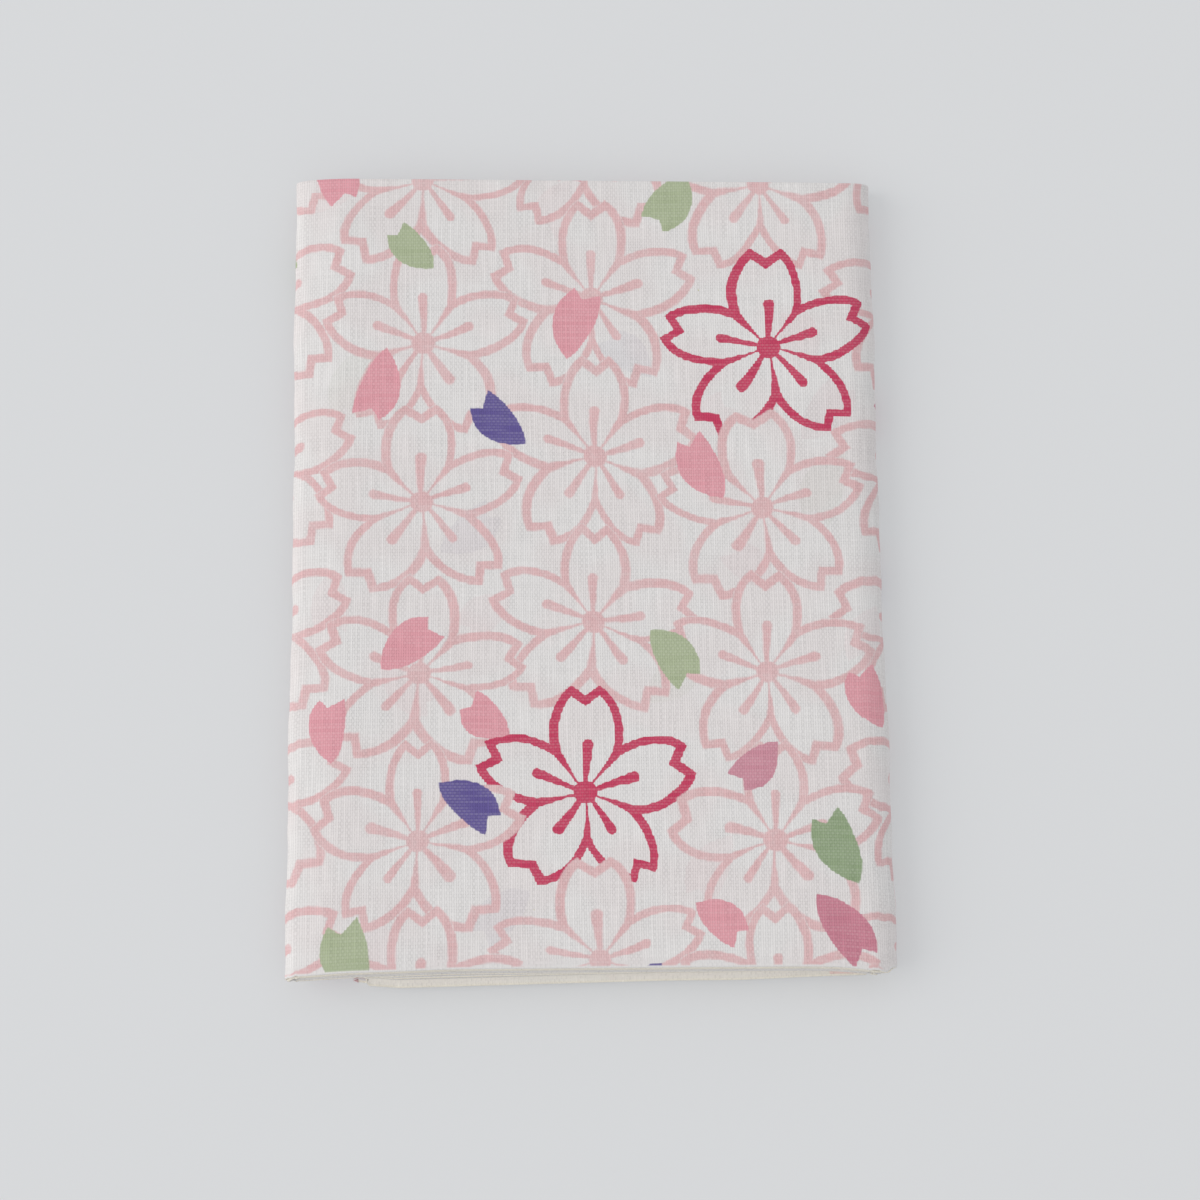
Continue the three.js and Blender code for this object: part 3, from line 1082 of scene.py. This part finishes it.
def cell_charts():
    """The loose petals cell by cell: the place in the cell, the turn and length, and the dye and width."""
    empty = (0.5, 0.5, 0.0, NO_PETAL)
    shapes = [empty] * (CELL_COLUMNS * CELL_ROWS)
    dyes = [empty] * (CELL_COLUMNS * CELL_ROWS)
    for dye, across, up, turn, long, wide in LOOSE_PETALS:
        column, in_column = divmod((across - FIRST_CELL["across"]) / CELL_WIDE, 1)
        row, in_row = divmod((up - FIRST_CELL["up"]) / CELL_HIGH, 1)
        cell = int(column) % CELL_COLUMNS + int(row) % CELL_ROWS * CELL_COLUMNS
        assert shapes[cell] is empty, (dye, across, up)
        shapes[cell] = (in_column, in_row, turn % 360 / 360, long / MOST_STRETCH)
        dyes[cell] = (*DYES[dye][:3], wide / MOST_STRETCH)
    return shapes, dyes


def strewn_petals(group, petal, across, up, ground):
    """Lays the loose petals of the four nearest cells over the ground's colour."""
    from_first = across - FIRST_CELL["across"]
    up_from_first = up - FIRST_CELL["up"]
    first_column = (from_first / CELL_WIDE - 0.5).floor()
    first_row = (up_from_first / CELL_HIGH - 0.5).floor()
    for next_column in (0, 1):
        for next_row in (0, 1):
            node = placed(
                group.tree,
                petal,
                Across=from_first,
                Up=up_from_first,
                Column=first_column + next_column,
                Row=first_row + next_row,
            )
            shape = number_from(group.tree, node, "Shape")
            ground = mixed(group.tree, shape, ground, node.outputs["Dye"])
    return ground


def print_group(blossom, petal):
    """The dyed print: each blossom covers those above it, and loose petals lie on top.

    The loose petals of the ply underneath show through a little, as in a mirror along the long fold.
    A faint uneven tint of the white stands for its pale lines."""
    group = Group(
        "blossom_print",
        {"Across": "number", "Up": "number", "Fold up": "number", "Unprinted": "number"},
        {"Colour": "colour"},
    )
    tree = group.tree
    across = group.input("Across")
    up = group.input("Up")
    dyed_part = 1 - group.input("Unprinted")
    taken = dyed_part
    for size, reach in EDGE_WANDER:
        wander = noise(tree, group.input("Across"), group.input("Up"), size, size)
        wander_across, wander_up, take = parted(tree, wander.outputs["Color"])
        taken = taken * take.eased(*DYE_TAKE)
        across = across + (wander_across - 0.5) * reach
        up = up + (wander_up - 0.5) * reach
    first_pair, first_up = column_blossoms(group, blossom, across, up, 0)
    second_pair, second_up = column_blossoms(group, blossom, across, up, 1)
    first_on_top = (second_up - first_up).eased(-HEIGHTS_APART, HEIGHTS_APART)
    lower, upper = (one_over_other(*pair, first_on_top) for pair in zip(first_pair, second_pair))
    pale, crimson, _ = one_over_other(lower, upper, 1.0)
    mirrored = group.input("Fold up") * 2 - up
    beneath = strewn_petals(group, petal, across, mirrored, COTTON_WHITE)
    ground = mixed(tree, SHOW_THROUGH, COTTON_WHITE, beneath)
    lumps = number_from(tree, noise(tree, across, up, PALE_TINT["size"], PALE_TINT["size"]), "Fac")
    ground = mixed(tree, lumps.eased(*PALE_TINT["edges"], 0.0, PALE_TINT["most"]), ground, DYES["pale"])
    colour = mixed(tree, pale * taken, ground, DYES["pale"])
    colour = mixed(tree, crimson * dyed_part, colour, DYES["crimson"])
    group.output(Colour=strewn_petals(group, petal, across, up, colour))
    return group.tree


# Colours as they look in the daylight of the photograph, each part from 0 to 255
LIGHT_LEVEL = 0.84


def paint(red, green, blue):
    """The surface colour that looks like this under the scene's light."""
    parts = [((part / 255 + 0.055) / 1.055) ** 2.4 for part in (red, green, blue)]
    return [min(1, part / LIGHT_LEVEL) for part in parts] + [1]


COTTON_WHITE = paint(213, 210, 209)
CREAM = paint(225, 219, 207)
DYES = {
    "pale": paint(209, 172, 173),
    "crimson": paint(186, 62, 92),
    "rose": paint(211, 149, 158),
    "deep rose": paint(190, 122, 138),
    "mauve": paint(192, 134, 148),
    "green": paint(162, 172, 141),
    "deep green": paint(138, 155, 122),
    "violet": paint(94, 83, 140),
}
COTTON_FINISH = {"Specular IOR Level": 0.25}
COTTON_ROUGHNESS = {"warp": 0.96, "weft": 0.88}
# Painted shade in the weave's holes and along the sunk warp, and a small lift of the open weave that
# balances it.
GAP_PAINTED_SHADE = 0.45
GAP_LOSS = 0.045
UNPRINTED_EDGE = 2.4 * MM
DENSE_EDGE = 2.0 * MM
BARE_EDGE = 0.45 * MM
EDGE_BLEED = 0.2 * MM
SHOW_THROUGH = 0.08
PALE_TINT = {"size": 12.0, "edges": (0.35, 0.65), "most": 0.09}
DYE_MISSED = 0.10
BACK_PRINT = 0.45
WEAVE_RELIEF = {"Strength": 0.5, "Distance": 0.10 * MM}


def cloth_material(name, weave, dyed, base, dye_share, origin):
    """Matt cotton with the print, its strength on this face, and the weave's threads and gaps, with painted
    shade in the gaps.
    """
    material, tree, shader = new_material(name, COTTON_FINISH)
    flat_map = tree.nodes.new("ShaderNodeUVMap")
    flat_map.uv_map = "cloth"
    along, across, _ = parted(tree, flat_map.outputs["UV"])
    print_across = (along - origin[0]) / MM
    print_up = (across - origin[1]) / MM
    threads = placed(tree, weave, Across=print_across, Up=print_up)
    half = CLOTH_WIDTH / 2
    pattern = placed(
        tree,
        dyed,
        Across=threads.outputs["Thread across"],
        Up=threads.outputs["Thread up"],
        Fold_up=-origin[1] / MM,
        Unprinted=across.eased(half - UNPRINTED_EDGE - EDGE_BLEED, half - UNPRINTED_EDGE + EDGE_BLEED),
    )
    bare = abs(across).eased(half - BARE_EDGE - EDGE_BLEED, half - BARE_EDGE + EDGE_BLEED)
    missed = number_from(tree, threads, "Crest") * (DYE_MISSED * dye_share) + (1 - dye_share)
    colour = mixed(tree, missed.highest(bare), pattern.outputs["Colour"], base)
    dense = abs(across).eased(half - DENSE_EDGE, half - DENSE_EDGE + EDGE_BLEED)
    # Painted shade: darker in the holes and where the warp sinks, for the shaded ply that shows beneath.
    gap_shade = GAP_LOSS - number_from(tree, threads, "Gap") * GAP_PAINTED_SHADE
    brightness = number_from(tree, threads, "Tone") * (gap_shade * (1 - dense) + 1)
    toned = tree.nodes.new("ShaderNodeVectorMath")
    toned.operation = "SCALE"
    fed(tree, toned, {"Vector": colour, "Scale": brightness})
    plug(tree, toned.outputs["Vector"], shader.inputs["Base Color"])
    weft_on_top = number_from(tree, threads, "Weft on top")
    weft_change = COTTON_ROUGHNESS["weft"] - COTTON_ROUGHNESS["warp"]
    roughness = weft_on_top * weft_change + COTTON_ROUGHNESS["warp"]
    plug(tree, roughness, shader.inputs["Roughness"])
    relief = added(tree, "ShaderNodeBump", Height=threads.outputs["Height"], **WEAVE_RELIEF)
    plug(tree, relief.outputs["Normal"], shader.inputs["Normal"])
    return material


THREAD_FINISH = {"Roughness": 0.95, **COTTON_FINISH}
TINT_SIZE = 6 * MM
TINT_EDGES = (0.55, 0.65)


def thread_material():
    """Loose cotton thread, here and there with a little of the pale dye."""
    material, tree, shader = new_material("cotton_thread", THREAD_FINISH)
    place = parted(tree, tree.nodes.new("ShaderNodeTexCoord").outputs["Object"])
    lumps = number_from(tree, noise(tree, place[0] + place[2], place[1], TINT_SIZE, TINT_SIZE), "Fac")
    colour = mixed(tree, lumps.eased(*TINT_EDGES), CREAM, DYES["pale"])
    plug(tree, colour, shader.inputs["Base Color"])
    return material


# The heart of one blossom, as a place on top of the folded stack. The print is laid from there.
BLOSSOM_ON_TOP = (-33.8 * MM, 14.6 * MM)


def print_origin(top_start):
    """The place on the flat cloth under BLOSSOM_ON_TOP, on the printed face of the top layer."""
    roll_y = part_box("folded_cloth")[1][1]
    along_top = BLOSSOM_ON_TOP[0] - left_end(1)
    return top_start + along_top, BLOSSOM_ON_TOP[1] - roll_y


make_camera()
make_light()
make_table()
cloth, top_start, cut_ends = make_cloth()
threads = make_cut_threads(cut_ends, thread_material())
weave = weave_group()
dyed = print_group(blossom_group(), loose_petal_group())
origin = print_origin(top_start)
cloth.data.materials.append(cloth_material("printed_face", weave, dyed, COTTON_WHITE, 1.0, origin))
cloth.data.materials.append(cloth_material("cloth_back", weave, dyed, CREAM, BACK_PRINT, origin))

for piece in (cloth, threads):
    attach(piece, "root")
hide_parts("folded_cloth")
